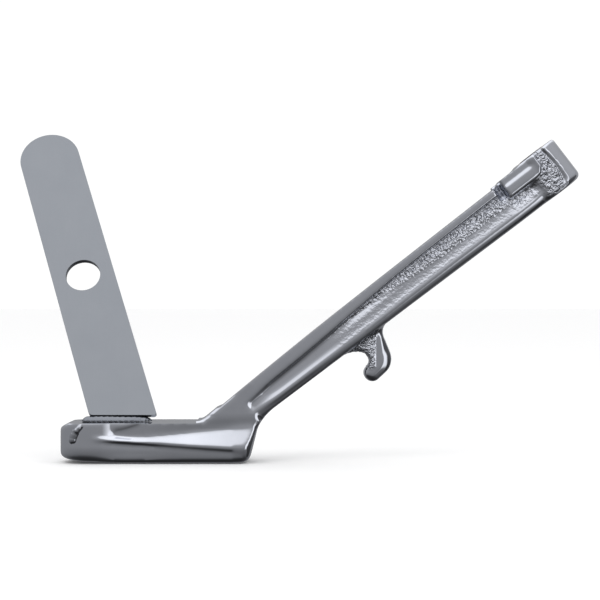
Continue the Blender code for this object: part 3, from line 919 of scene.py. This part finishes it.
def bead(points, radii, squash, count):
    """A skin of rings along the points: radii at the share from 0 to 1, puddles along it."""
    rings = []
    steps = len(points) - 1
    for index, (place, ahead) in enumerate(points):
        share = index / steps
        out = Vector((0.0, 0.0, 1.0)) if abs(ahead.z) < 0.8 else Vector((0.0, -1.0, 0.0))
        sideways = ahead.cross(out).normalized()
        lift = sideways.cross(ahead).normalized()
        size = radii(share) * puddles(share, count)
        ring = []
        for turn in range(BEAD_SIDES):
            angle = math.tau * turn / BEAD_SIDES
            offset = sideways * math.cos(angle) * size + lift * math.sin(angle) * size * squash
            ring.append(place + offset + ahead * 0.5 * math.cos(angle) ** 2)
        rings.append(ring)
    return skin(rings)


def rounded_run(width, share):
    """Half width of a bead with round ends."""
    return width * max(1.0 - abs(2.0 * share - 1.0) ** 6, 0.02) ** 0.5


print("bead's half width at its end, middle and other end:",
      [round(rounded_run(1.0, share), 2) for share in (0.0, 0.5, 1.0)])

# %% [markdown]
# The long run fills the seam under the tab, from one side to the other, inside the room that the
# working model's bead has. It is cut level with the foot's top and lightly relaxed, because
# plating rounds what the torch left sharp.

# %% Weld bead
def weld_bead_piece():
    """The ridge under the tab, from its inner side outwards."""
    low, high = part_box("weld_bead")
    low, high = low / MM, high / MM
    centre_y = (low.y + high.y) / 2.0
    length = high.x - low.x
    points = []
    steps = 120
    for step in range(steps + 1):
        x = high.x - 2.2 - (length - 2.0) * step / steps
        points.append((Vector((x, centre_y, FOOT_TOP - 0.2)), Vector((-1.0, 0.0, 0.0))))
    half = (high.y - low.y) / 2.0 - 0.1
    height = high.z - FOOT_TOP
    bm = bead(points, lambda share: rounded_run(half * (0.86 + 0.14 * share), share), height / half, 13)
    return body("weld_bead_ripples", bm)


weld = weld_bead_piece()
floor_bm = bmesh.new()
bmesh.ops.create_cube(floor_bm, size=100.0,
                      matrix=Matrix.Translation((TAB_X, 0.0, FOOT_TOP + 0.05 - 50.0)))
cut(weld, body("weld floor", floor_bm))
reskin(weld, 0.35)
soften(weld, 2, lambda point: True)
add_grain(weld, lambda point: 0.3, 0.12, 1.6)
finished(weld)
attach(weld, "leg")
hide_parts("weld_bead")
print("weld bead:", len(weld.data.polygons), "faces")


# %% Weld run-off
def run_off_piece():
    """Down the outer rear corner of the foot: a rippled ridge that bends."""
    low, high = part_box("weld_run_off")
    low, high = low / MM, high / MM
    points = []
    steps = 60
    for step in range(steps + 1):
        share = step / steps
        bend = math.sin(math.pi * share)
        x = high.x - 0.6 - (high.x - low.x - 2.4) * share ** 0.8 - 1.2 * bend
        round_nose = max(FOOT_END + NOSE_R - x, 0.0)
        y = -HALF_FOOT + NOSE_R - math.sqrt(NOSE_R ** 2 - round_nose ** 2)
        points.append(Vector((x, y + 0.5, high.z - 1.2 - (high.z - low.z - 2.4) * share)))
    aimed = []
    for index, place in enumerate(points):
        ahead = points[min(index + 1, steps)] - points[max(index - 1, 0)]
        aimed.append((place, ahead.normalized()))
    bm = bead(aimed, lambda share: rounded_run(2.3, share), 0.75, 4)
    return body("weld_run_off_ripples", bm)


run_off = run_off_piece()
reskin(run_off, 0.3)
soften(run_off, 2, lambda point: True)
finished(run_off)
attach(run_off, "leg")
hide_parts("weld_run_off")
print("weld run-off:", len(run_off.data.polygons), "faces")

# %% [markdown]
# ## Writing finishes as sums
# A finish is arithmetic on numbers that vary over the surface. `Wire` wraps one output socket,
# so that `1 - mask * 0.3` adds the Math nodes it stands for, and `Graph.node` makes any other
# node from its type, its settings and what goes into its sockets.

# %% A wire that does sums
class Wire:
    """An output socket that takes part in sums."""

    def __init__(self, socket):
        self.socket = socket

    def sum(self, operation, first, second):
        graph = Graph(self.socket.id_data)
        node = graph.tree.nodes.new("ShaderNodeMath")
        node.operation = operation
        graph.join(node.inputs[0], first)
        graph.join(node.inputs[1], second)
        return Wire(node.outputs[0])

    def __add__(self, other):
        return self.sum("ADD", self, other)

    def __radd__(self, other):
        return self.sum("ADD", other, self)

    def __sub__(self, other):
        return self.sum("SUBTRACT", self, other)

    def __rsub__(self, other):
        return self.sum("SUBTRACT", other, self)

    def __mul__(self, other):
        return self.sum("MULTIPLY", self, other)

    def __rmul__(self, other):
        return self.sum("MULTIPLY", other, self)


# %% Any other node
class Graph:
    """A node tree that is written one call at a time."""

    def __init__(self, tree):
        self.tree = tree

    def join(self, socket, value):
        if isinstance(value, Wire):
            self.tree.links.new(value.socket, socket)
        else:
            socket.default_value = value

    def node(self, kind, settings=None, sockets=None, output=0):
        made = self.tree.nodes.new(kind)
        for name, value in (settings or {}).items():
            if name == "stops":
                ramp_stops = made.color_ramp.elements
                ramp_stops.remove(ramp_stops[1])
                for index, (position, colour) in enumerate(value):
                    stop = ramp_stops.new(position) if index else ramp_stops[0]
                    stop.position = position
                    stop.color = colour
            else:
                setattr(made, name, value)
        for name, value in (sockets or {}).items():
            self.join(made.inputs[name], value)
        return Wire(made.outputs[output])


# %% A finish
class Finish(Graph):
    """A metal or a paper: a Principled shader with its constants set, ready for what varies."""

    def __init__(self, name, constants):
        self.material = bpy.data.materials.new(name)
        self.material.use_nodes = True
        super().__init__(self.material.node_tree)
        self.shader = self.tree.nodes["Principled BSDF"]
        for socket, value in constants.items():
            self.shader.inputs[socket].default_value = value
        self.place = self.node("ShaderNodeTexCoord", output="Object")

    def feed(self, socket, wire):
        self.join(self.shader.inputs[socket], wire)

    def speckle(self, scale, detail=2.0, rough=0.5, stretch=None):
        """Noise over the piece, scale in patches per metre, drawn out where stretch says."""
        place = self.place
        if stretch:
            place = self.node("ShaderNodeMapping", {}, {"Vector": place, "Scale": stretch})
        return self.node("ShaderNodeTexNoise", {}, {"Vector": place, "Scale": scale,
                                                    "Detail": detail, "Roughness": rough})

    def tint(self, wire, low, high):
        """A colour between two colours, as the wire goes from 0 to 1."""
        return self.node("ShaderNodeMix", {"data_type": "RGBA"},
                         {0: wire, 6: (*low, 1.0), 7: (*high, 1.0)}, output=2)

    def relief(self, wire, height, strength=1.0):
        bump = self.node("ShaderNodeBump", {}, {"Height": wire, "Distance": height, "Strength": strength})
        self.feed("Normal", bump)


# %% [markdown]
# ## Polished chrome
# Chrome has almost no colour of its own, a trace of blue. It shows what is round it, so its
# roughness is very low, with faint haze left by the wheel. Where the cast mask is high the
# surface scatters, and a fine bump adds grains smaller than the mesh can hold.

# %% Polished chrome
def chrome_finish(name, grain_depth, haze, colour_low, colour_high):
    finish = Finish(name, {"Metallic": 1.0})
    cast = finish.node("ShaderNodeAttribute", {"attribute_name": "cast"}, output="Fac")
    haze_patch = finish.speckle(140.0, 3.0)
    finish.feed("Base Color", finish.tint(haze_patch, colour_low, colour_high))
    finish.feed("Roughness", haze + haze_patch * 0.05 + cast * 0.06)
    grains = finish.speckle(750.0, 1.0, 0.6)
    ripple = finish.speckle(60.0, 1.0)
    finish.relief(grains * cast * grain_depth + ripple * 0.05, 0.001)
    return finish.material


def dress(piece, material):
    piece.data.materials.clear()
    piece.data.materials.append(material)
    print(piece.name, "wears", material.name)


dress(leg_casting, chrome_finish("polished chrome", 1.6, 0.03, (0.67, 0.685, 0.725), (0.74, 0.75, 0.785)))
# The weld wears the same chrome in a far darker colour: painted shade, where it sits in the corner under
# the tab.
dress(weld, chrome_finish("weld chrome darkened as painted shade", 0.3, 0.09, (0.2, 0.21, 0.23), (0.27, 0.28, 0.3)))
# The run-off wears the same chrome in a darker colour, which is painted shade.
dress(run_off, chrome_finish("run-off chrome darkened as painted shade", 0.5, 0.07, (0.46, 0.47, 0.5), (0.58, 0.59, 0.62)))

# %% [markdown]
# ## Satin chrome, bronze and steel
# The tab is chromed over metal that was only brushed, so it mirrors nothing
# sharply; its grain is noise drawn out along one direction. Its colour is kept far darker than
# the polished chrome's, which is painted shade. Inside the barrel the bushes are porous bronze,
# and the sleeve is hardened steel with fine rings from the grinding wheel.

# %% Satin chrome, bronze and steel
def satin_finish_with_painted_shade():
    """Plated flat bar: fine lines from the brush, a slow cloud of tone, and a dark colour that is painted
    shade.
    """
    finish = Finish("satin chrome", {"Metallic": 1.0})
    cloud = finish.speckle(60.0, 3.0)
    grain = finish.speckle(900.0, 2.0, 0.6, (1.0, 0.12, 0.12))
    # The colour is kept far darker than polished chrome: painted shade, so that the bright cloth overhead
    # mirrors in it as a mid grey.
    finish.feed("Base Color", finish.tint(cloud, (0.276, 0.29, 0.308), (0.304, 0.316, 0.332)))
    finish.feed("Roughness", 0.30 + grain * 0.08)
    finish.relief(grain, 0.00002)
    return finish.material


def bronze_finish():
    """Sintered bronze: a warm, slightly porous surface with turning marks."""
    finish = Finish("bush bronze", {"Metallic": 1.0})
    pores = finish.speckle(2600.0, 2.0, 0.7)
    patch = finish.speckle(220.0, 3.0)
    finish.feed("Base Color", finish.tint(patch, (0.46, 0.28, 0.12), (0.62, 0.42, 0.2)))
    finish.feed("Roughness", 0.28 + pores * 0.25)
    finish.relief(pores, 0.00004)
    return finish.material


def steel_finish():
    """Hardened and ground steel: grey, with fine rings from the grinding wheel."""
    finish = Finish("sleeve steel", {"Metallic": 1.0})
    rings = finish.speckle(3000.0, 2.0, 0.6, (ACROSS.x, 0.02, ACROSS.z))
    patch = finish.speckle(160.0, 3.0)
    finish.feed("Base Color", finish.tint(patch, (0.30, 0.31, 0.33), (0.42, 0.43, 0.45)))
    finish.feed("Roughness", 0.24 + rings * 0.16)
    finish.relief(rings, 0.00002)
    return finish.material


dress(kick_tab, satin_finish_with_painted_shade())
dress(frame["nodes"]["pivot_sleeve"], steel_finish())
bronze = bronze_finish()
for bush in ("bush_upper", "bush_lower"):
    dress(frame["nodes"][bush], bronze)

# %% [markdown]
# ## The studio
# Chrome is best shown inside a tent: white cloth overhead, a dim grey band at eye level where
# the room shows through, and darkness under the table. The sky here is that tent, a ramp of
# brightness by height. The camera itself sees plain white, and the floor is a pale sheet.

# %% Light tent
# height in the tent, from straight down to straight up, and how bright the cloth is there
CLOTH = ((-1.0, 0.02), (-0.8, 0.05), (-0.55, 0.16), (-0.2, 0.25), (0.0, 0.32), (0.22, 0.37),
         (0.36, 0.52), (0.48, 0.95), (0.8, 1.2), (1.0, 1.3))
WHITE = 1.04


def build_tent():
    """A sky that is the tent for mirrored rays, and plain white for the eye."""
    world = bpy.data.worlds.new("light tent")
    world.use_nodes = True
    bpy.context.scene.world = world
    graph = Graph(world.node_tree)
    towards = graph.node("ShaderNodeTexCoord", output="Generated")
    right = graph.node("ShaderNodeSeparateXYZ", {}, {"Vector": towards}, "X")
    front = graph.node("ShaderNodeSeparateXYZ", {}, {"Vector": towards}, "Y")
    height = graph.node("ShaderNodeSeparateXYZ", {}, {"Vector": towards}, "Z")

    def between(wire, start, stop):
        return graph.node("ShaderNodeMapRange", {"interpolation_type": "SMOOTHSTEP"},
                          {"Value": wire, "From Min": start, "From Max": stop})

    stops = [((level + 1.0) / 2.0, (value, value, value, 1.0)) for level, value in CLOTH]
    cloth = graph.node("ShaderNodeValToRGB", {"stops": stops}, {"Fac": height * 0.5 + 0.5})
    in_front = between(front, 0.15, -0.15)
    shade = between(right, 0.4, 0.65) * between(height, 0.25, 0.45) * 0.55
    panel = between(right, 0.34, 0.46) * between(right, 0.72, 0.62) * in_front
    panel *= between(height, 0.6, 0.3) * between(height, -0.5, -0.25)
    gap = between(right, 0.64, 0.74) * between(height, 0.4, 0.25) * between(front, 0.6, 0.4) * 0.75
    level = cloth * (1 - shade) * (1 - gap) + panel * 0.85
    tinted = graph.node("ShaderNodeCombineColor", {}, {"Red": level * 0.97, "Green": level * 0.985,
                                                       "Blue": level * 1.03})
    mirrored = graph.node("ShaderNodeLightPath", output="Is Glossy Ray")
    colour = graph.node("ShaderNodeMix", {"data_type": "RGBA"},
                        {0: mirrored, 6: (WHITE, WHITE, WHITE, 1.0), 7: tinted}, 2)
    graph.join(world.node_tree.nodes["Background"].inputs["Color"], colour)


build_tent()
print("light tent with", len(CLOTH), "levels of cloth")

# %% [markdown]
# The floor is a large pale sheet just under the sole, and chrome doesn't mirror it, so that the
# tent alone draws the reflections. Two round, weak lamps soften the shadow on the sheet.

# %% Floor and lamps
CENTRE = (CAD_BOX[0] + CAD_BOX[1]) / 2.0


def build_floor():
    """A sheet of paper just under the sole, which the chrome doesn't mirror."""
    bm = bmesh.new()
    bmesh.ops.create_grid(bm, x_segments=1, y_segments=1, size=12.0)
    bmesh.ops.translate(bm, vec=(0.0, 0.0, CAD_BOX[0].z - 0.0002), verts=bm.verts)
    floor = body("floor", bm)
    paper = Finish("pale paper", {"Roughness": 0.9, "Base Color": (0.95, 0.95, 0.95, 1.0)})
    floor.data.materials.append(paper.material)
    floor.visible_glossy = False


def build_light(name, place, size, power):
    """A round lamp aimed at the stand, which the chrome doesn't mirror."""
    lamp = bpy.data.lights.new(name, "AREA")
    lamp.shape = "DISK"
    lamp.size = size
    lamp.energy = power
    obj = bpy.data.objects.new(name, lamp)
    obj.location = place
    obj.rotation_euler = (CENTRE - Vector(place)).to_track_quat("-Z", "Y").to_euler()
    obj.visible_glossy = False
    bpy.context.scene.collection.objects.link(obj)


build_floor()
build_light("key", (-0.6, -0.8, 1.1), 0.9, 3.0)
build_light("fill", (0.9, -0.4, 0.9), 0.9, 2.0)
print("floor at", round(CAD_BOX[0].z / MM, 1), "mm, lamps aimed at", [round(part, 3) for part in CENTRE])

# %% [markdown]
# ## Camera
# The camera stands level, square to the stand's rear side, with a long lens.

# %% Camera
camera = bpy.data.objects.new("camera", bpy.data.cameras.new("camera"))
camera.data.lens = 81.42
camera.data.clip_start = 0.01
camera.location = (-0.1263, -0.700, -0.0653)
camera.rotation_euler = (math.radians(90.0), 0.0, 0.0)
bpy.context.scene.collection.objects.link(camera)
bpy.context.scene.camera = camera
bpy.context.scene.view_settings.view_transform = "Standard"
print("camera is", round(-camera.location.y, 2), "m from the pivot's plane")
